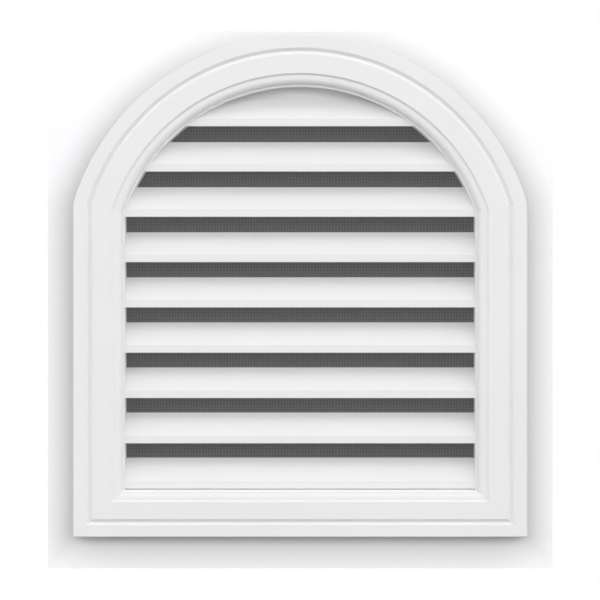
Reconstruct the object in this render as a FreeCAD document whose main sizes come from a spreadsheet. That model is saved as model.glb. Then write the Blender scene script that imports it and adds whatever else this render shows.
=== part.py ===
"""Gable vent with an arched head: mitred casing, louvered jamb box and insect screen.

The wall plane is y = 0 and the vent faces -Y. The origin is the middle of the casing's bottom back edge.
"""

import FreeCAD, Part
import Sketcher
import math
import os

Vector = FreeCAD.Vector
# How a staple's crown lies, in degrees from level.
LEVEL = 0
UPRIGHT = 90
# Coordinates closer than this are the same, in millimetres.
SAME = 1e-6

# Driving dimensions in millimetres and degrees.
SIZES = (
    ("overall_width", 762.0),
    ("overall_height", 843.0),
    ("spring_height", 560.0),
    ("stile_face_width", 86.2),
    ("sill_face_width", 78.8),
    ("casing_projection", 25.4),
    ("edge_bevel", 1.2),
    ("groove_inset", 21.8),
    ("groove_width", 11.2),
    ("groove_depth", 4.5),
    ("step_width", 3.3),
    ("step_drop", 3.4),
    ("bead_flat", 4.9),
    ("bead_radius", 10.2),
    ("reveal", 3.6),
    ("mitre_gap", 0.1),
    ("rabbet_depth", 10.0),
    ("liner_thickness", 12.7),
    ("liner_depth", 70.0),
    ("fit_clearance", 0.2),
    ("louver_count", 9),
    ("louver_rise", 51.4),
    ("louver_thickness", 9.5),
    ("louver_angle", 45.0),
    ("louver_nose_round", 0.4),
    ("louver_setback", 2.5),
    ("louver_sill_gap", 1.0),
    ("dado_depth", 5.0),
    ("filler_thickness", 6.0),
    ("filler_height", 16.0),
    ("screen_thickness", 1.2),
    ("screen_margin", 2.5),
    ("screen_pitch", 5.08),
    ("screen_strand", 1.1),
    ("screen_border", 1.5),
    ("staple_leg", 6.0),
    ("staple_wire", 0.8),
    ("staple_spacing", 95.0),
    ("staple_clearance", 0.1),
)

# What follows from the driving dimensions.
DERIVED = (
    ("half_width", "Sizes.overall_width / 2"),
    ("arch_rise", "Sizes.overall_height - Sizes.spring_height"),
    ("outer_radius", "(half_width ^ 2 + arch_rise ^ 2) / (2 * arch_rise)"),
    ("arch_centre", "Sizes.overall_height - outer_radius"),
    ("inner_radius", "outer_radius - Sizes.stile_face_width"),
    ("open_half", "half_width - Sizes.stile_face_width"),
    ("open_top", "arch_centre + inner_radius"),
    ("inner_spring", "arch_centre + sqrt(inner_radius ^ 2 - open_half ^ 2)"),
    ("spring_slope", "(Sizes.spring_height - inner_spring) / Sizes.stile_face_width"),
    ("sill_slope", "Sizes.sill_face_width / Sizes.stile_face_width"),
    ("casing_width", "Sizes.stile_face_width - Sizes.reveal"),
    ("rabbet_inset", "Sizes.liner_thickness + Sizes.fit_clearance"),
    ("liner_back", "Sizes.liner_depth - Sizes.rabbet_depth"),
    ("louver_sin", "sin(Sizes.louver_angle)"),
    ("louver_cos", "cos(Sizes.louver_angle)"),
    ("louver_nose", "Sizes.louver_thickness / louver_cos"),
    ("louver_run", "(Sizes.louver_rise - louver_nose) * louver_cos / louver_sin"),
    ("louver_front", "Sizes.louver_setback - Sizes.rabbet_depth"),
    ("louver_base", "Sizes.sill_face_width + Sizes.louver_sill_gap"),
    ("louver_room", "open_top - louver_base - Sizes.louver_rise - Sizes.filler_height"),
    ("louver_pitch", "louver_room / (Sizes.louver_count - 1)"),
    ("screen_lap", "Sizes.liner_thickness - Sizes.screen_margin"),
    ("jamb_middle", "open_half + Sizes.liner_thickness / 2"),
    ("gaps_each_side", "round(jamb_middle / Sizes.screen_pitch)"),
    ("strand_pitch", "jamb_middle / gaps_each_side"),
    ("staple_reach", "strand_pitch + Sizes.staple_wire / 2"),
)

doc = FreeCAD.newDocument("gable_vent")


def fill_sheet(name, rows, prefix=""):
    """Write one sheet of aliased cells."""
    sheet = doc.addObject("Spreadsheet::Sheet", name)
    for row, (alias, content) in enumerate(rows, start=1):
        sheet.set(f"A{row}", alias)
        sheet.set(f"B{row}", prefix + str(content))
        sheet.setAlias(f"B{row}", alias)
    doc.recompute()
    return sheet


sizes = fill_sheet("Sizes", SIZES)
derived = fill_sheet("Derived", DERIVED, prefix="=")


def number(expression):
    """The present value of an expression over the two sheets."""
    return float(sizes.evalExpression(expression))


def bind(target, **expressions):
    """Bind properties of an object to expressions; a double underscore stands for a dot."""
    for path, expression in expressions.items():
        target.setExpression(path.replace("__", "."), expression)


def closed_sketch(body, role, corners, arcs=None):
    """A closed outline on an origin plane, through corners given as pairs of expressions.

    arcs gives, for the edge that starts at a corner, the expressions of its centre.
    """
    arcs = arcs or {}
    start_vertex, end_vertex, centre_vertex = 1, 2, 3
    sketch = body.newObject("Sketcher::SketchObject", body.Name + "_outline")
    plane = next(f for f in body.Origin.OriginFeatures if f.Role == role)
    sketch.AttachmentSupport = [(plane, "")]
    sketch.MapMode = "FlatFace"
    points = [Vector(number(x), number(y), 0) for x, y in corners]
    ends = []
    for index, start in enumerate(points):
        finish = points[(index + 1) % len(points)]
        if index in arcs:
            centre = Vector(*(number(part) for part in arcs[index]), 0)
            forward = (start - centre).cross(finish - centre).z > 0
            first, last = (start, finish) if forward else (finish, start)
            angles = [math.atan2(p.y - centre.y, p.x - centre.x) for p in (first, last)]
            circle = Part.Circle(centre, Vector(0, 0, 1), (start - centre).Length)
            sketch.addGeometry(Part.ArcOfCircle(circle, *angles))
        else:
            sketch.addGeometry(Part.LineSegment(start, finish))
            forward = True
        ends.append((start_vertex, end_vertex) if forward else (end_vertex, start_vertex))
    for index in range(len(points)):
        after = (index + 1) % len(points)
        sketch.addConstraint(Sketcher.Constraint("Coincident", index, ends[index][1], after, ends[after][0]))
    for index, (x, y) in enumerate(corners):
        hold(sketch, "DistanceX", index, ends[index][0], x)
        hold(sketch, "DistanceY", index, ends[index][0], y)
    for index, (x, y) in arcs.items():
        chord = points[(index + 1) % len(points)] - points[index]
        if abs(chord.x) > abs(chord.y):
            hold(sketch, "DistanceY", index, centre_vertex, y)
        else:
            hold(sketch, "DistanceX", index, centre_vertex, x)
    return sketch


def hold(sketch, kind, edge, vertex, expression):
    """Hold one coordinate of a point of the sketch at an expression."""
    place = sketch.addConstraint(Sketcher.Constraint(kind, -1, 1, edge, vertex, number(expression)))
    sketch.setExpression(f"Constraints[{place}]", expression)


def padded(name, role, corners, length, arcs=None, midplane=True):
    """A body made by extruding a closed outline."""
    body = doc.addObject("PartDesign::Body", name)
    sketch = closed_sketch(body, role, corners, arcs)
    pad = body.newObject("PartDesign::Pad", name + "_pad")
    pad.Profile = sketch
    pad.Midplane = midplane
    bind(pad, Length=length)
    return body


def revolved(name, corners, arcs=None):
    """A half ring: an outline of depth and radius turned about the arch's centre line."""
    body = doc.addObject("PartDesign::Body", name)
    sketch = closed_sketch(body, "YZ_Plane", corners, arcs)
    bind(sketch, AttachmentOffset__Base__y="Derived.arch_centre")
    ring = body.newObject("PartDesign::Revolution", name + "_ring")
    ring.Profile = sketch
    ring.ReferenceAxis = (sketch, ["H_Axis"])
    ring.Midplane = True
    ring.Angle = 180
    return body


def board(name, **expressions):
    """A plain rectangular board."""
    box = doc.addObject("Part::Box", name)
    bind(box, **expressions)
    return box


def combined(kind, name, base, tool):
    """A boolean of two objects: Cut or Common."""
    result = doc.addObject("Part::" + kind, name)
    result.Base = base
    result.Tool = tool
    return result


def mirrored(name, source):
    """The right-hand twin of a left-hand piece."""
    twin = doc.addObject("Part::Mirroring", name)
    twin.Source = source
    twin.Normal = Vector(1, 0, 0)
    return twin


def shaped(name, shapes):
    """A group of solids made in code."""
    group = doc.addObject("Part::Feature", name)
    group.Shape = Part.makeCompound(shapes)
    return group


def casing_section(across, scale="1"):
    """Corners and bead arc of the casing moulding, from its outer back corner round its face.

    across turns a distance from the outer edge and a height above the wall into sketch coordinates.
    scale narrows the face, so that a narrower piece still meets its neighbour at the mitre.
    """
    face = "Sizes.casing_projection"
    ledge = f"{face} - Sizes.step_drop"
    bead = "Derived.casing_width - Sizes.bead_radius"
    step = f"{bead} - Sizes.bead_flat"
    rabbet = f"Sizes.stile_face_width * {scale} - Derived.rabbet_inset"
    moulded = (
        ("0", "0"),
        ("0", f"{face} - Sizes.edge_bevel"),
        ("Sizes.edge_bevel", face),
        ("Sizes.groove_inset", face),
        ("Sizes.groove_inset + Sizes.groove_width / 2", f"{face} - Sizes.groove_depth"),
        ("Sizes.groove_inset + Sizes.groove_width", face),
        (f"{step} - Sizes.step_width", face),
        (step, ledge),
        (bead, ledge),
        ("Derived.casing_width", f"{ledge} - Sizes.bead_radius"),
        ("Derived.casing_width", "Sizes.rabbet_depth"),
    )
    corners = [across(f"({u}) * {scale}", v) for u, v in moulded]
    corners.append(across(rabbet, "Sizes.rabbet_depth"))
    corners.append(across(rabbet, "0"))
    bow = f"Sizes.bead_radius * (1 + ({scale}) ^ 2) / 2"
    arcs = {moulded.index((bead, ledge)): across(f"({bead}) * {scale}", f"{ledge} - {bow}")}
    return corners, arcs


def opening_outline(grow):
    """Outline of the arched opening, moved outwards by an amount, with its arc's centre."""
    half = f"Derived.open_half + {grow}"
    radius = f"Derived.inner_radius + {grow}"
    spring = f"Derived.arch_centre + sqrt(({radius}) ^ 2 - ({half}) ^ 2)"
    base = f"Sizes.sill_face_width - ({grow})"
    corners = [(f"-({half})", base), (half, base), (half, spring), (f"-({half})", spring)]
    return corners, {corners.index((half, spring)): ("0", "Derived.arch_centre")}


def opening_plug(name, grow):
    """A solid of the opening's outline, deeper than the box, that trims what ends on its walls."""
    corners, arcs = opening_outline(grow)
    return padded(name, "XZ_Plane", corners, "4 * Sizes.liner_depth", arcs)


def louver_section(clear):
    """Section of a slat, nose at the origin, moved outwards by a clearance on every side."""
    sine, cosine = "Derived.louver_sin", "Derived.louver_cos"
    back = f"Derived.louver_run + {clear} * ({cosine} - {sine})"
    top = f"Sizes.louver_rise + {clear} * ({cosine} + {sine})"
    heel = f"Derived.louver_run + Sizes.louver_thickness * {sine} + {clear} * ({cosine} + {sine})"
    toe = f"Sizes.louver_rise - Sizes.louver_thickness * {cosine} + {clear} * ({sine} - {cosine})"
    return [
        (f"-{clear}", f"-{clear} * (1 + {sine}) / {cosine}"),
        (f"-{clear}", f"Derived.louver_nose + {clear} * (1 - {sine}) / {cosine}"),
        (back, top),
        (heel, toe),
    ]


def louver_blank(name, index, clear):
    """A slat before its ends are trimmed, at its place in the row."""
    body = padded(name, "YZ_Plane", louver_section(clear), "Sizes.overall_width")
    height = f"Derived.louver_base + {index} * Derived.louver_pitch"
    bind(body, Placement__Base__y="Derived.louver_front", Placement__Base__z=height)
    return body


def round_nose(body):
    """Ease the two long edges of a slat's plumb nose."""
    doc.recompute()
    pad = body.Tip
    edges = []
    for place, edge in enumerate(pad.Shape.Edges, start=1):
        box = edge.BoundBox
        along = box.XLength > 1 and max(box.YLength, box.ZLength) < SAME
        if along and abs(box.YMin - pad.Shape.BoundBox.YMin) < SAME:
            edges.append(f"Edge{place}")
    nose = body.newObject("PartDesign::Fillet", body.Name + "_nose")
    nose.Base = (pad, edges)
    bind(nose, Radius="Sizes.louver_nose_round")


def even_places(low, high, spacing):
    """Places from low to high, evenly spaced, no further apart than spacing."""
    steps = max(1, math.ceil((high - low) / spacing))
    return [low + (high - low) * step / steps for step in range(steps + 1)]


def staple_placements():
    """Where the staples sit on the box's back edges, each leg in a gap of the screen."""
    spacing = number("Sizes.staple_spacing")
    inset = number("2 * Derived.staple_reach + Sizes.liner_thickness")
    side = number("Derived.jamb_middle")
    sill = number("Sizes.sill_face_width - Sizes.liner_thickness / 2")
    spring = number("Derived.inner_spring")
    centre = number("Derived.arch_centre")
    radius = number("Derived.inner_radius + Sizes.liner_thickness / 2")
    places = []
    for across in even_places(inset - side, side - inset, spacing):
        places.append((over_gaps(across, 1), sill, LEVEL))
    for height in even_places(sill + inset, spring - inset, spacing):
        places.append((-side, height, UPRIGHT))
        places.append((side, height, UPRIGHT))
    reach = math.atan2(side, spring - centre) - inset / radius
    for turn in even_places(-reach, reach, spacing / radius):
        across = over_gaps(radius * math.sin(turn), math.cos(turn))
        lie = math.asin(across / radius)
        places.append((across, centre + radius * math.cos(lie), math.degrees(lie)))
    axis = Vector(0, 1, 0)
    return [FreeCAD.Placement(Vector(x, 0, z), FreeCAD.Rotation(axis, lie)) for x, z, lie in places]


def over_gaps(across, spread):
    """The nearest place where both legs of a staple stand in gaps of the screen.

    spread is how far each leg stands to its side, as a share of the strands' pitch.
    """
    pitch = number("Derived.strand_pitch")
    shift = 0.5 if 0.25 < spread < 0.75 else 0
    return (round(across / pitch + shift) - shift) * pitch


def placed_copies(shape, placements):
    """Copies of a shape at each placement."""
    copies = []
    for placement in placements:
        copy = shape.copy()
        copy.Placement = placement.multiply(copy.Placement)
        copies.append(copy)
    return copies


# Mitre cuts: wedges of the front view that each casing piece is kept to.
wide = "Sizes.overall_width"
head_low = "Sizes.spring_height - Derived.spring_slope * Derived.half_width"
head_high = "Sizes.spring_height + Derived.spring_slope * Derived.half_width"
sill_high = "Derived.sill_slope * Derived.half_width"
depth = "4 * Sizes.liner_depth"
head_zone = padded(
    "head_zone",
    "XZ_Plane",
    [
        (f"-{wide}", head_high),
        ("0", head_low),
        (wide, head_high),
        (wide, "2 * Sizes.overall_height"),
        (f"-{wide}", "2 * Sizes.overall_height"),
    ],
    depth,
)
left_zone = padded(
    "left_zone",
    "XZ_Plane",
    [
        (f"-{wide}", f"-({sill_high}) + Sizes.mitre_gap"),
        ("0", f"{sill_high} + Sizes.mitre_gap"),
        ("0", f"{head_low} - Sizes.mitre_gap"),
        (f"-{wide}", f"{head_high} - Sizes.mitre_gap"),
    ],
    depth,
)
sill_zone = padded(
    "sill_zone",
    "XZ_Plane",
    [(f"-{wide}", f"-({sill_high})"), (wide, f"-({sill_high})"), ("0", sill_high)],
    depth,
)

# Casing mouldings.
head_section = casing_section(lambda u, v: (f"-({v})", f"Derived.outer_radius - ({u})"))
head_ring = revolved("head_moulding", *head_section)
head_casing = combined("Common", "head_casing", head_ring, head_zone)

stile_corners, stile_arcs = casing_section(lambda u, v: (f"{u} - Derived.half_width", f"-({v})"))
stile_bar = padded(
    "stile_moulding",
    "XY_Plane",
    stile_corners,
    "Sizes.spring_height",
    stile_arcs,
    midplane=False,
)
left_casing = combined("Common", "left_casing", stile_bar, left_zone)
right_casing = mirrored("right_casing", left_casing)

sill_corners, sill_arcs = casing_section(lambda u, v: (f"-({v})", u), "Derived.sill_slope")
sill_bar = padded("sill_moulding", "YZ_Plane", sill_corners, "Sizes.overall_width", sill_arcs)
sill_casing = combined("Common", "sill_casing", sill_bar, sill_zone)

# Slats, trimmed to the bottoms of their grooves.
slat_plug = opening_plug("slat_plug", "(Sizes.dado_depth - Sizes.fit_clearance)")
groove_plug = opening_plug("groove_plug", "Sizes.dado_depth")
louvers = []
grooves = []
for index in range(round(number("Sizes.louver_count"))):
    blank = louver_blank(f"slat_{index + 1}", index, "0")
    round_nose(blank)
    louvers.append(combined("Common", f"louver_{index + 1}", blank, slat_plug))
    cutter = louver_blank(f"groove_{index + 1}", index, "Sizes.fit_clearance")
    grooves.append(combined("Common", f"groove_{index + 1}_end", cutter, groove_plug))

# The board that closes the head above the top slat, bevelled to sit on the slat's back edge.
filler_foot = "Derived.open_top - Sizes.filler_height"
filler_front = "Derived.louver_front + Derived.louver_run"
filler_back = f"{filler_front} + Sizes.filler_thickness"
bevel = "Sizes.filler_thickness * Derived.louver_cos / Derived.louver_sin"
filler_blank = padded(
    "filler_blank",
    "YZ_Plane",
    [
        (filler_front, filler_foot),
        (filler_back, f"{filler_foot} - {bevel}"),
        (filler_back, "Sizes.overall_height"),
        (filler_front, "Sizes.overall_height"),
    ],
    "Sizes.overall_width",
)
filler_plug = opening_plug("filler_plug", "(-Sizes.fit_clearance)")
head_filler = combined("Common", "head_filler", filler_blank, filler_plug)

# One staple, driven from behind along -Y, and the holes of its two legs.
screen_back = "Derived.liner_back + Sizes.screen_thickness"
tip = f"{screen_back} - Sizes.staple_leg"
outer = "Derived.staple_reach"
inner = f"{outer} - Sizes.staple_wire"
staple = padded(
    "staple",
    "XY_Plane",
    [
        (f"-({outer})", tip),
        (f"-({inner})", tip),
        (f"-({inner})", screen_back),
        (inner, screen_back),
        (inner, tip),
        (outer, tip),
        (outer, f"{screen_back} + Sizes.staple_wire"),
        (f"-({outer})", f"{screen_back} + Sizes.staple_wire"),
    ],
    "Sizes.staple_wire",
)
leg_hole = padded(
    "leg_hole",
    "XY_Plane",
    [
        (f"{inner} - Sizes.staple_clearance", f"{tip} - Sizes.staple_clearance"),
        (f"{outer} + Sizes.staple_clearance", f"{tip} - Sizes.staple_clearance"),
        (f"{outer} + Sizes.staple_clearance", screen_back),
        (f"{inner} - Sizes.staple_clearance", screen_back),
    ],
    "Sizes.staple_wire + 2 * Sizes.staple_clearance",
)
doc.recompute()
half_turn = FreeCAD.Placement(Vector(0, 0, 0), FreeCAD.Rotation(Vector(0, 1, 0), 180))
both_legs = [leg_hole.Shape, placed_copies(leg_hole.Shape, [half_turn])[0]]
screen_staples = shaped("screen_staples", placed_copies(staple.Shape, staple_placements()))
leg_holes = shaped("leg_holes", placed_copies(Part.makeCompound(both_legs), staple_placements()))

# Box behind the casing: two jambs on a sill board, and an arched head.
box_cutters = doc.addObject("Part::Compound", "box_cutters")
box_cutters.Links = [*grooves, leg_holes]

head_board = revolved(
    "head_board",
    [
        ("-Sizes.rabbet_depth", "Derived.inner_radius"),
        ("Derived.liner_back", "Derived.inner_radius"),
        ("Derived.liner_back", "Derived.inner_radius + Sizes.liner_thickness"),
        ("-Sizes.rabbet_depth", "Derived.inner_radius + Sizes.liner_thickness"),
    ],
)
head_plain = combined("Common", "head_plain", head_board, head_zone)
head_jamb = combined("Cut", "head_jamb", head_plain, box_cutters)

jamb_board = board(
    "jamb_board",
    Length="Sizes.liner_thickness",
    Width="Sizes.liner_depth",
    Height="Sizes.spring_height - Sizes.sill_face_width",
    Placement__Base__x="-Derived.open_half - Sizes.liner_thickness",
    Placement__Base__y="-Sizes.rabbet_depth",
    Placement__Base__z="Sizes.sill_face_width",
)
jamb_plain = combined("Cut", "jamb_plain", jamb_board, head_zone)
left_jamb = combined("Cut", "left_jamb", jamb_plain, box_cutters)
right_jamb = mirrored("right_jamb", left_jamb)

sill_board = board(
    "sill_board",
    Length="2 * (Derived.open_half + Sizes.liner_thickness)",
    Width="Sizes.liner_depth",
    Height="Sizes.liner_thickness",
    Placement__Base__x="-Derived.open_half - Sizes.liner_thickness",
    Placement__Base__y="-Sizes.rabbet_depth",
    Placement__Base__z="Sizes.sill_face_width - Sizes.liner_thickness",
)
sill_jamb = combined("Cut", "sill_jamb", sill_board, leg_holes)

# Insect screen: upright strands with gaps between them, inside a border that lies on the box's back edges.
sheet_corners, sheet_arcs = opening_outline("Derived.screen_lap")
screen_sheet = padded("screen_sheet", "XZ_Plane", sheet_corners, "Sizes.screen_thickness", sheet_arcs)
bind(screen_sheet, Placement__Base__y="Derived.liner_back + Sizes.screen_thickness / 2")
pitch = number("Derived.strand_pitch")
gap = pitch - number("Sizes.screen_strand")
gaps_each_side = round(number("Derived.gaps_each_side"))
gap_size = (gap, number("2 * Sizes.liner_depth"), number("Sizes.overall_height"))
gap_boxes = []
for index in range(-gaps_each_side, gaps_each_side + 1):
    gap_boxes.append(Part.makeBox(*gap_size, Vector(index * pitch - gap / 2, 0, 0)))
gap_strips = shaped("gap_strips", gap_boxes)
gap_plug = opening_plug("gap_plug", "(Derived.screen_lap - Sizes.screen_border)")
screen_gaps = combined("Common", "screen_gaps", gap_strips, gap_plug)
insect_screen = combined("Cut", "insect_screen", screen_sheet, screen_gaps)

SUBPARTS = [
    head_casing,
    left_casing,
    right_casing,
    sill_casing,
    head_jamb,
    left_jamb,
    right_jamb,
    sill_jamb,
    *louvers,
    head_filler,
    insect_screen,
    screen_staples,
]

doc.recompute()
for item in doc.Objects:
    if "Invalid" in item.State or "Error" in item.State:
        raise RuntimeError(f"{item.Label} did not recompute")
for item in SUBPARTS:
    if item.Shape.isNull() or not item.Shape.isValid() or not item.Shape.Solids:
        raise RuntimeError(f"{item.Label} has no valid solid")

os.makedirs("parts", exist_ok=True)
for item in SUBPARTS:
    item.Shape.exportStep(f"parts/{item.Label}.step")
    print(item.Label, len(item.Shape.Solids), "solids", round(item.Shape.Volume), "mm3")
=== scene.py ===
"""The looks of the arched gable vent: PVC finishes, the wire mesh, a display board, studio light and camera.

Everything is in metres in the CAD frame: x to the right, the front at -y, z up from the vent's bottom edge.
"""

import math

import bmesh
import bpy
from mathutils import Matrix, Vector


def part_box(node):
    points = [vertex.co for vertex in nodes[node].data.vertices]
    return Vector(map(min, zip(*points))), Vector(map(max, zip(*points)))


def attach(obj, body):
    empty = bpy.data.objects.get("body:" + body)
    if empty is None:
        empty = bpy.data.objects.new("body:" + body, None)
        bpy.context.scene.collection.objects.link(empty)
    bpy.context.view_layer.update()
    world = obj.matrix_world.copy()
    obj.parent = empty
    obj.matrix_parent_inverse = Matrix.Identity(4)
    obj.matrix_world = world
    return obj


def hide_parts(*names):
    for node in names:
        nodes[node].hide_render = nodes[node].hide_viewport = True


# The vent, from the CAD.
HALF_WIDTH = 0.381
HEIGHT = 0.843
SPRING = 0.560
FACE_WIDTH = 0.0862
SILL_WIDTH = 0.0788
ARCH_RISE = HEIGHT - SPRING
ARCH_RADIUS = (HALF_WIDTH**2 + ARCH_RISE**2) / (2 * ARCH_RISE)
ARCH_CENTRE = HEIGHT - ARCH_RADIUS
SCREEN_LAP = 0.0102

# The wire mesh: straight wires welded in two layers, about ten to the inch.
WIRE_PITCH = 0.00253686
WIRE_RADIUS = 0.00030
WIRE_SIDES = 6
WELD_SINK = 0.00008

# The camera, level and square to the vent.
CAMERA_PLACE = (-0.0002, -6.8, 0.3977)
CAMERA_LENS = 242.3
SENSOR_WIDTH = 36.0

# Finishes, as pairs of a darker and a lighter tone.
PVC_WHITES = ((0.815, 0.815, 0.813), (0.832, 0.832, 0.832))
WIRE_GREYS = ((0.23, 0.23, 0.232), (0.275, 0.275, 0.275))
STAPLE_GREYS = ((0.52, 0.52, 0.53), (0.66, 0.66, 0.66))
PVC_IOR = 1.46

# Shading of the CAD faces: edges sharper than the angle, in degrees, stay sharp.
SHARP_ANGLE = 25
MERGE_DISTANCE = 1e-6
FLAT_WEIGHT = 100

# The board that the vent hangs on, and the spacer between them, open behind the vent.
BOARD_LEFT, BOARD_RIGHT = -0.4261, 0.4261
BOARD_BOTTOM, BOARD_TOP = -0.0555, 0.8509
BOARD_FRONT = 0.0205
BOARD_THICKNESS = 0.003
SPACER_FRONT = 0.0005
SPACER_INSET = 0.004
SPACER_WIDTH = 0.006
# Painted shade on the board: next to the vent's outline its colour is darker and its camera-only glow
# weaker, standing in for the vent's shadow; the colour lightens out to the second distance and the glow
# rises between the two distances.
PAINTED_SHADE_NEAR_WHITE, PAINTED_SHADE_NEAR_GLOW = (0.79, 0.79, 0.80), 0.025
PAINTED_SHADE_FAR_WHITE, PAINTED_SHADE_FAR_GLOW = (0.895, 0.895, 0.910), 0.09
PAINTED_SHADE_EDGES = (0.012, 0.050)
SPACER_GREY = (0.35, 0.35, 0.35)

# The pale floor, and the dark card that shows through the mesh: painted shade standing for the unlit space
# behind the vent, with a faint glow that only the camera sees.
FLOOR_LEVEL = -0.9
FLOOR_HALF = 8.0
FLOOR_WHITE, FLOOR_GLOW = (0.34, 0.34, 0.34), 0.58
CARD_PLACE = (0.0, 9.0, 0.40)
CARD_HALF = (0.85, 0.95)
CARD_PAINTED_SHADE_GREY, CARD_GLOW = (0.03, 0.03, 0.03), 0.060
CORNERS = ((-1, -1), (1, -1), (1, 1), (-1, 1))

# The light: a surround whose level goes by height above the horizon in degrees, in front and at the sides.
FRONT_LEVELS = (
    (-4, 0.0),
    (2, 1.1),
    (6, 2.2),
    (11, 3.45),
    (15, 3.2),
    (20, 2.0),
    (26, 0.2),
    (40, 0.05),
    (45, 1.0),
    (50, 1.7),
    (56, 1.15),
    (64, 0.75),
    (74, 0.35),
    (80, 0.0),
    (90, 0.0),
)
SIDE_LEVELS = (
    (-22, 0.0),
    (-15, 1.5),
    (0, 1.7),
    (7, 2.0),
    (14, 1.6),
    (22, 0.7),
    (29, 1.3),
    (36, 1.8),
    (44, 1.8),
    (50, 1.5),
    (56, 0.4),
    (66, 0.1),
    (90, 0.0),
)
REAR_LEVEL = 0.07
# Azimuths in degrees over which the front gives way to the sides, and the sides to the rear.
SIDE_AZIMUTHS = (25, 45)
REAR_AZIMUTHS = (85, 95)
LIGHT_GAIN = 1.139
RIGHT_SHARE = 0.10

# Sockets of a Mix node for colours.
MIX_FIRST, MIX_SECOND, MIX_RESULT = 6, 7, 2

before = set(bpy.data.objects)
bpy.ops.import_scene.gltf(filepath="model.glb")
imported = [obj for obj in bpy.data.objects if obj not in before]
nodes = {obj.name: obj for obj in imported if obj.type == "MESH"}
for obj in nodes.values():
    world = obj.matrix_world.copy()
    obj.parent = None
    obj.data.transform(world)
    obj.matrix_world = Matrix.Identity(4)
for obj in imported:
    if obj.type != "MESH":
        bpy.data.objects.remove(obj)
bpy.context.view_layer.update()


def new_material(name):
    """An empty node material; returns it with its tree and its Principled shader."""
    material = bpy.data.materials.new(name)
    material.use_nodes = True
    tree = material.node_tree
    return material, tree, tree.nodes["Principled BSDF"]


def add(tree, kind, values=None, **links):
    """A node of a kind, with its input values and the sockets that feed its inputs."""
    node = tree.nodes.new("ShaderNode" + kind)
    for name, value in (values or {}).items():
        node.inputs[name].default_value = value
    for name, socket in links.items():
        tree.links.new(socket, node.inputs[name])
    return node


def math_node(tree, operation, *sources):
    """The result of a math node over sockets or plain numbers."""
    node = tree.nodes.new("ShaderNodeMath")
    node.operation = operation
    for socket, source in zip(node.inputs, sources):
        if isinstance(source, bpy.types.NodeSocket):
            tree.links.new(source, socket)
        else:
            socket.default_value = source
    return node.outputs[0]


def noise(tree, vector, scale, detail=2.0):
    """The grey value of a noise texture over a vector."""
    texture = add(tree, "TexNoise", {"Scale": scale, "Detail": detail}, Vector=vector)
    return texture.outputs["Fac"]


def stretched(tree, vector, scale):
    """A vector scaled by axis."""
    mapping = add(tree, "Mapping", {"Scale": scale}, Vector=vector)
    return mapping.outputs["Vector"]


def ranged(tree, value, low, high, start=0.3, end=0.7):
    """A value spread from its usual noise range to a new one."""
    limits = {"From Min": start, "From Max": end, "To Min": low, "To Max": high}
    return add(tree, "MapRange", limits, Value=value).outputs["Result"]


def ramp(tree, value, dark, light):
    """A colour between two by a noise value."""
    node = add(tree, "ValToRGB", Fac=value)
    node.color_ramp.elements[0].position = 0.3
    node.color_ramp.elements[0].color = (*dark, 1)
    node.color_ramp.elements[1].position = 0.7
    node.color_ramp.elements[1].color = (*light, 1)
    return node.outputs["Color"]


def bumps(tree, layers):
    """Bump nodes laid one on another; each layer is a height, a strength and a depth."""
    normal = None
    for height, strength, depth in layers:
        bump = add(tree, "Bump", {"Strength": strength, "Distance": depth}, Height=height)
        if normal is not None:
            tree.links.new(normal, bump.inputs["Normal"])
        normal = bump.outputs["Normal"]
    return normal


def arch_vector(tree, place):
    """Coordinates that follow the arch: distance from its centre line, depth, and a slow turn."""
    moved = add(tree, "Mapping", {"Location": (0, 0, -ARCH_CENTRE)}, Vector=place)
    parts = add(tree, "SeparateXYZ", Vector=moved.outputs["Vector"])
    across, depth, height = (parts.outputs[axis] for axis in "XYZ")
    flat = add(tree, "CombineXYZ", X=across, Z=height)
    radius = add(tree, "VectorMath")
    radius.operation = "LENGTH"
    tree.links.new(flat.outputs["Vector"], radius.inputs[0])
    turn = math_node(tree, "ARCTAN2", across, height)
    bent = add(tree, "CombineXYZ", X=turn, Y=depth, Z=radius.outputs["Value"])
    return bent.outputs["Vector"]


def pvc(name, along):
    """White cellular PVC with faint draw lines along the piece: along is X, Z or ARCH."""
    material, tree, shader = new_material(name)
    place = add(tree, "TexCoord").outputs["Object"]
    lines = {"X": (2, 900, 900), "Z": (900, 900, 2), "ARCH": (0.7, 900, 900)}[along]
    run = arch_vector(tree, place) if along == "ARCH" else place
    draw = noise(tree, stretched(tree, run, lines), 1.0, 3.0)
    skin = noise(tree, place, 1400.0)
    cloud = noise(tree, place, 7.0, 4.0)
    tree.links.new(ramp(tree, cloud, *PVC_WHITES), shader.inputs["Base Color"])
    tree.links.new(ranged(tree, noise(tree, place, 45.0, 3.0), 0.40, 0.54), shader.inputs["Roughness"])
    normal = bumps(tree, [(draw, 0.10, 0.00010), (skin, 0.06, 0.00006)])
    tree.links.new(normal, shader.inputs["Normal"])
    shader.inputs["IOR"].default_value = PVC_IOR
    return material


def steel(name, dark, light, metallic, low, high):
    """Dull metal with fine mottling; low and high limit its roughness."""
    material, tree, shader = new_material(name)
    place = add(tree, "TexCoord").outputs["Object"]
    mottle = noise(tree, place, 260.0, 3.0)
    tree.links.new(ramp(tree, mottle, dark, light), shader.inputs["Base Color"])
    tree.links.new(ranged(tree, noise(tree, place, 90.0), low, high), shader.inputs["Roughness"])
    tree.links.new(bumps(tree, [(mottle, 0.15, 0.00005)]), shader.inputs["Normal"])
    shader.inputs["Metallic"].default_value = metallic
    return material


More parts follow.
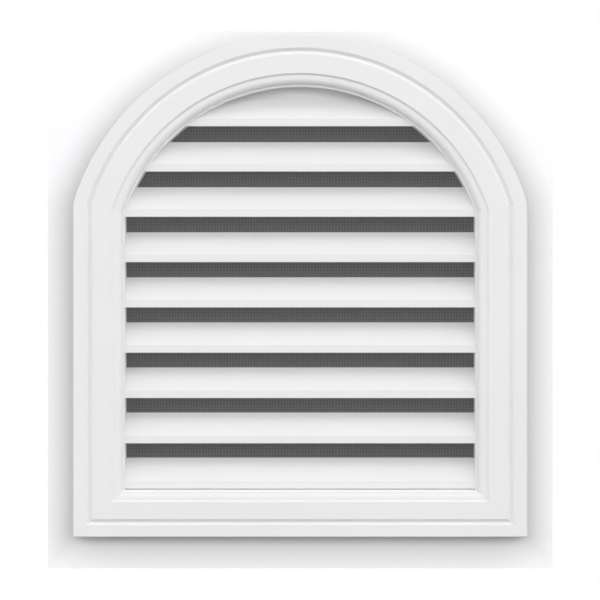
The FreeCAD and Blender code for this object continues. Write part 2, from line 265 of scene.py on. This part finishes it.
def outline_distance(tree, place):
    """How far a point of the front view is outside the casing's outline."""
    parts = add(tree, "SeparateXYZ", Vector=place)
    across = math_node(tree, "ABSOLUTE", parts.outputs["X"])
    height = parts.outputs["Z"]
    rise = math_node(tree, "MAXIMUM", math_node(tree, "SUBTRACT", height, ARCH_CENTRE), 0.0)
    radius = add(tree, "VectorMath")
    radius.operation = "LENGTH"
    tree.links.new(add(tree, "CombineXYZ", X=across, Z=rise).outputs["Vector"], radius.inputs[0])
    beside = math_node(tree, "SUBTRACT", across, HALF_WIDTH)
    below = math_node(tree, "MULTIPLY", height, -1.0)
    above = math_node(tree, "SUBTRACT", radius.outputs["Value"], ARCH_RADIUS)
    return math_node(tree, "MAXIMUM", math_node(tree, "MAXIMUM", beside, below), above)


def backdrop(name, colour, glow, painted_shade=None):
    """A stage finish; glow is light that only the camera sees. Painted shade, if given, makes colour and
    glow darker near the vent's outline and lets them rise to far values away from it.
    """
    material, tree, shader = new_material(name)
    place = add(tree, "TexCoord").outputs["Object"]
    dark = tuple(part * 0.995 for part in colour)
    tint = ramp(tree, noise(tree, place, 3.0), dark, colour)
    if painted_shade is not None:
        far_colour, far_glow = painted_shade
        # Painted shade: darker colour and weaker glow near the vent's outline, rising away from it.
        away = outline_distance(tree, place)
        mix = add(tree, "Mix")
        mix.data_type = "RGBA"
        tree.links.new(ranged(tree, away, 0.0, 1.0, 0.0, PAINTED_SHADE_EDGES[1]), mix.inputs["Factor"])
        tree.links.new(tint, mix.inputs[MIX_FIRST])
        mix.inputs[MIX_SECOND].default_value = (*far_colour, 1)
        tint = mix.outputs[MIX_RESULT]
        glow = ranged(tree, away, glow, far_glow, *PAINTED_SHADE_EDGES)
    tree.links.new(tint, shader.inputs["Base Color"])
    shader.inputs["Roughness"].default_value = 0.9
    shader.inputs["Specular IOR Level"].default_value = 0.0
    shader.inputs["Emission Color"].default_value = (1, 1, 1, 1)
    path = add(tree, "LightPath")
    strength = math_node(tree, "MULTIPLY", path.outputs["Is Camera Ray"], glow)
    tree.links.new(strength, shader.inputs["Emission Strength"])
    return material


def new_object(name, mesh, material):
    """An object for a finished bmesh."""
    data = bpy.data.meshes.new(name)
    mesh.to_mesh(data)
    mesh.free()
    data.materials.append(material)
    item = bpy.data.objects.new(name, data)
    bpy.context.scene.collection.objects.link(item)
    return item


def arched_outline(grow, steps=96):
    """Points round the casing's outline, moved outwards by an amount, from the bottom left corner."""
    half, radius, low = HALF_WIDTH + grow, ARCH_RADIUS + grow, -grow
    reach = math.asin(half / radius)
    points = [(-half, low), (half, low)]
    for step in range(steps + 1):
        turn = reach - 2 * reach * step / steps
        points.append((radius * math.sin(turn), ARCH_CENTRE + radius * math.cos(turn)))
    return points


def loop(mesh, points, depth):
    """A closed loop of edges in the front view at a depth."""
    corners = [mesh.verts.new((x, depth, z)) for x, z in points]
    return [mesh.edges.new(pair) for pair in zip(corners, corners[1:] + corners[:1])]


def ring_plate(name, outer, inner, front, back, material):
    """A plate between two outlines of the front view, from one depth to another."""
    mesh = bmesh.new()
    edges = loop(mesh, outer, front) + loop(mesh, inner, front)
    bmesh.ops.triangle_fill(mesh, edges=edges, use_beauty=True, normal=(0, -1, 0))
    copied = bmesh.ops.extrude_face_region(mesh, geom=list(mesh.faces))["geom"]
    moved = [item for item in copied if isinstance(item, bmesh.types.BMVert)]
    bmesh.ops.translate(mesh, verts=moved, vec=(0, back - front, 0))
    bmesh.ops.recalc_face_normals(mesh, faces=mesh.faces)
    return new_object(name, mesh, material)


def display_board():
    """The board behind the vent, with painted shade round the vent's outline, and the spacer that holds the
    vent off it.
    """
    corners = [
        (BOARD_LEFT, BOARD_BOTTOM),
        (BOARD_RIGHT, BOARD_BOTTOM),
        (BOARD_RIGHT, BOARD_TOP),
        (BOARD_LEFT, BOARD_TOP),
    ]
    outer = arched_outline(-SPACER_INSET)
    inner = arched_outline(-SPACER_INSET - SPACER_WIDTH)
    back = BOARD_FRONT + BOARD_THICKNESS
    board_painted_shade = backdrop("board_painted_shade", PAINTED_SHADE_NEAR_WHITE, PAINTED_SHADE_NEAR_GLOW, (PAINTED_SHADE_FAR_WHITE, PAINTED_SHADE_FAR_GLOW))
    spacer_grey = backdrop("spacer_grey", SPACER_GREY, 0.0)
    board = ring_plate("display_board", corners, inner, BOARD_FRONT, back, board_painted_shade)
    spacer = ring_plate("board_spacer", outer, inner, SPACER_FRONT, BOARD_FRONT, spacer_grey)
    return board, spacer


def sheet(name, corners, material):
    """A flat stage sheet through four corners."""
    mesh = bmesh.new()
    mesh.faces.new([mesh.verts.new(corner) for corner in corners])
    return new_object(name, mesh, material)


def floor_sheet():
    """The floor, well below the vent."""
    corners = [(FLOOR_HALF * right, FLOOR_HALF * far, FLOOR_LEVEL) for right, far in CORNERS]
    return sheet("floor", corners, backdrop("floor_white", FLOOR_WHITE, FLOOR_GLOW))


def card_sheet():
    """The dark card of painted shade, upright and far behind the vent."""
    x, y, z = CARD_PLACE
    wide, high = CARD_HALF
    corners = [(x + wide * right, y, z + high * up) for right, up in CORNERS]
    return sheet("painted_shade_card", corners, backdrop("card_painted_shade", CARD_PAINTED_SHADE_GREY, CARD_GLOW))


def wire(mesh, start, finish):
    """A straight round wire."""
    axis = finish - start
    turn = axis.to_track_quat("Z", "Y")
    rings = []
    for end in (start, finish):
        ring = []
        for side in range(WIRE_SIDES):
            angle = 2 * math.pi * side / WIRE_SIDES
            offset = Vector((math.cos(angle), math.sin(angle), 0)) * WIRE_RADIUS
            ring.append(mesh.verts.new(end + turn @ offset))
        rings.append(ring)
    low, high = rings
    for side in range(WIRE_SIDES):
        after = (side + 1) % WIRE_SIDES
        mesh.faces.new((low[side], low[after], high[after], high[side]))
    mesh.faces.new(low[::-1])
    mesh.faces.new(high)


def screen_limits():
    """The mesh's half width, foot, arch radius and spring, trimmed as the CAD screen is."""
    half = HALF_WIDTH - FACE_WIDTH + SCREEN_LAP
    radius = ARCH_RADIUS - FACE_WIDTH + SCREEN_LAP
    foot = SILL_WIDTH - SCREEN_LAP
    spring = ARCH_CENTRE + math.sqrt(radius**2 - half**2)
    return half, radius, foot, spring


def wire_mesh(depth):
    """The insect screen: upright wires in front, level wires welded behind them."""
    half, radius, foot, spring = screen_limits()
    mesh = bmesh.new()
    front = depth + WIRE_RADIUS
    back = front + 2 * WIRE_RADIUS - WELD_SINK
    count = math.floor((half - WIRE_RADIUS) / WIRE_PITCH)
    for index in range(-count, count + 1):
        x = index * WIRE_PITCH
        top = ARCH_CENTRE + math.sqrt(radius**2 - x**2)
        wire(mesh, Vector((x, front, foot)), Vector((x, front, top)))
    head = ARCH_CENTRE + radius
    rows = math.floor((head - foot) / WIRE_PITCH)
    for index in range(1, rows):
        z = foot + index * WIRE_PITCH
        reach = half if z < spring else math.sqrt(radius**2 - (z - ARCH_CENTRE) ** 2)
        wire(mesh, Vector((-reach, back, z)), Vector((reach, back, z)))
    finish = steel("mesh_wire", *WIRE_GREYS, metallic=0.0, low=0.6, high=0.75)
    return new_object("wire_mesh", mesh, finish)


def smooth(item, angle):
    """Shade curved faces smooth, keep edges sharper than an angle, and keep flats flat beside curves."""
    weld = item.modifiers.new("weld", "WELD")
    weld.merge_threshold = MERGE_DISTANCE
    item.data.polygons.foreach_set("use_smooth", [True] * len(item.data.polygons))
    split = item.modifiers.new("edges", "EDGE_SPLIT")
    split.split_angle = angle
    flats = item.modifiers.new("flats", "WEIGHTED_NORMAL")
    flats.weight = FLAT_WEIGHT


def by_height(tree, height, levels):
    """A level read from pairs of an elevation in degrees and a level, by the height of a direction."""
    lowest = math.sin(math.radians(levels[0][0]))
    peak = max(level for _, level in levels)
    node = add(tree, "ValToRGB", Fac=ranged(tree, height, 0.0, 1.0, lowest, 1.0))
    stops = node.color_ramp.elements
    while len(stops) < len(levels):
        stops.new(0.5)
    for stop, (degrees, level) in zip(stops, levels):
        stop.position = (math.sin(math.radians(degrees)) - lowest) / (1.0 - lowest)
        grey = level / peak
        stop.color = (grey, grey, grey, 1)
    return math_node(tree, "MULTIPLY", node.outputs["Color"], peak * LIGHT_GAIN)


def blend(tree, share, low, high):
    """A value between two by a share from nought to one."""
    rise = math_node(tree, "SUBTRACT", high, low)
    return math_node(tree, "ADD", low, math_node(tree, "MULTIPLY", rise, share))


def studio_world():
    """White to the camera and to reflections; as light, a surround that goes by height and azimuth."""
    world = bpy.data.worlds.new("studio")
    bpy.context.scene.world = world
    world.use_nodes = True
    tree = world.node_tree
    light = tree.nodes["Background"]
    output = tree.nodes["World Output"]
    way = add(tree, "TexCoord").outputs["Generated"]
    parts = add(tree, "SeparateXYZ", Vector=way)
    across, depth, height = (parts.outputs[axis] for axis in "XYZ")
    forward = math_node(tree, "MULTIPLY", depth, -1.0)
    azimuth = math_node(tree, "ABSOLUTE", math_node(tree, "ARCTAN2", across, forward))
    front = by_height(tree, height, FRONT_LEVELS)
    side = by_height(tree, height, SIDE_LEVELS)
    to_side = ranged(tree, azimuth, 0.0, 1.0, *map(math.radians, SIDE_AZIMUTHS))
    to_rear = ranged(tree, azimuth, 0.0, 1.0, *map(math.radians, REAR_AZIMUTHS))
    level = blend(tree, to_rear, blend(tree, to_side, front, side), REAR_LEVEL)
    right = ranged(tree, across, 1.0 - RIGHT_SHARE, 1.0 + RIGHT_SHARE, -1.0, 1.0)
    tree.links.new(math_node(tree, "MULTIPLY", level, right), light.inputs["Strength"])
    light.inputs["Color"].default_value = (1, 1, 1, 1)
    white = add(tree, "Background", {"Color": (1, 1, 1, 1), "Strength": 1.0})
    path = add(tree, "LightPath")
    seen = path.outputs["Is Camera Ray"]
    for ray in ("Is Glossy Ray", "Is Transmission Ray"):
        seen = math_node(tree, "MAXIMUM", seen, path.outputs[ray])
    mix = add(tree, "MixShader", Fac=seen)
    tree.links.new(light.outputs[0], mix.inputs[1])
    tree.links.new(white.outputs[0], mix.inputs[2])
    tree.links.new(mix.outputs[0], output.inputs["Surface"])


def lamp(name, target, distance, azimuth, elevation, size, power):
    """A large soft lamp aimed at a point, from an azimuth off the front and an elevation in degrees."""
    data = bpy.data.lights.new(name, "AREA")
    data.shape = "RECTANGLE"
    data.size, data.size_y = size
    data.energy = power
    item = bpy.data.objects.new(name, data)
    turn = math.radians(azimuth)
    rise = math.radians(elevation)
    level = math.cos(rise)
    way = Vector((level * math.sin(turn), -level * math.cos(turn), math.sin(rise)))
    item.location = Vector(target) + way * distance
    item.rotation_mode = "QUATERNION"
    item.rotation_quaternion = way.to_track_quat("Z", "Y")
    bpy.context.scene.collection.objects.link(item)
    return item


# Finishes of the CAD pieces.
level_pvc = pvc("pvc_level", "X")
upright_pvc = pvc("pvc_upright", "Z")
arch_pvc = pvc("pvc_arch", "ARCH")
staple_steel = steel("staple_steel", *STAPLE_GREYS, metallic=1.0, low=0.30, high=0.45)
FINISHES = {
    "head_casing": arch_pvc,
    "head_jamb": arch_pvc,
    "left_casing": upright_pvc,
    "right_casing": upright_pvc,
    "left_jamb": upright_pvc,
    "right_jamb": upright_pvc,
    "screen_staples": staple_steel,
}
for name, node in nodes.items():
    finish = FINISHES.get(name, level_pvc)
    for slot in node.material_slots:
        slot.material = finish
    smooth(node, math.radians(SHARP_ANGLE))

# The wire mesh stands for the CAD screen.
screen_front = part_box("insect_screen")[0].y
mesh_piece = wire_mesh(screen_front)
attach(mesh_piece, "root")
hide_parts("insect_screen")

# Stage.
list(display_board())
floor_sheet()
card_sheet()

# Light and camera.
studio_world()
lamp("key", target=(0, 0, 0.50), distance=3.0, azimuth=5, elevation=45, size=(1.8, 1.4), power=3.5)
lamp("rear", target=(0, 0, 0.40), distance=4.0, azimuth=180, elevation=46, size=(3.0, 0.3), power=80.0)

camera_data = bpy.data.cameras.new("camera")
camera_data.lens = CAMERA_LENS
camera_data.sensor_width = SENSOR_WIDTH
camera_data.clip_end = 100.0
camera = bpy.data.objects.new("camera", camera_data)
camera.location = CAMERA_PLACE
camera.rotation_euler = (math.pi / 2, 0, 0)
bpy.context.scene.collection.objects.link(camera)
bpy.context.scene.camera = camera
bpy.context.scene.view_settings.view_transform = "Standard"
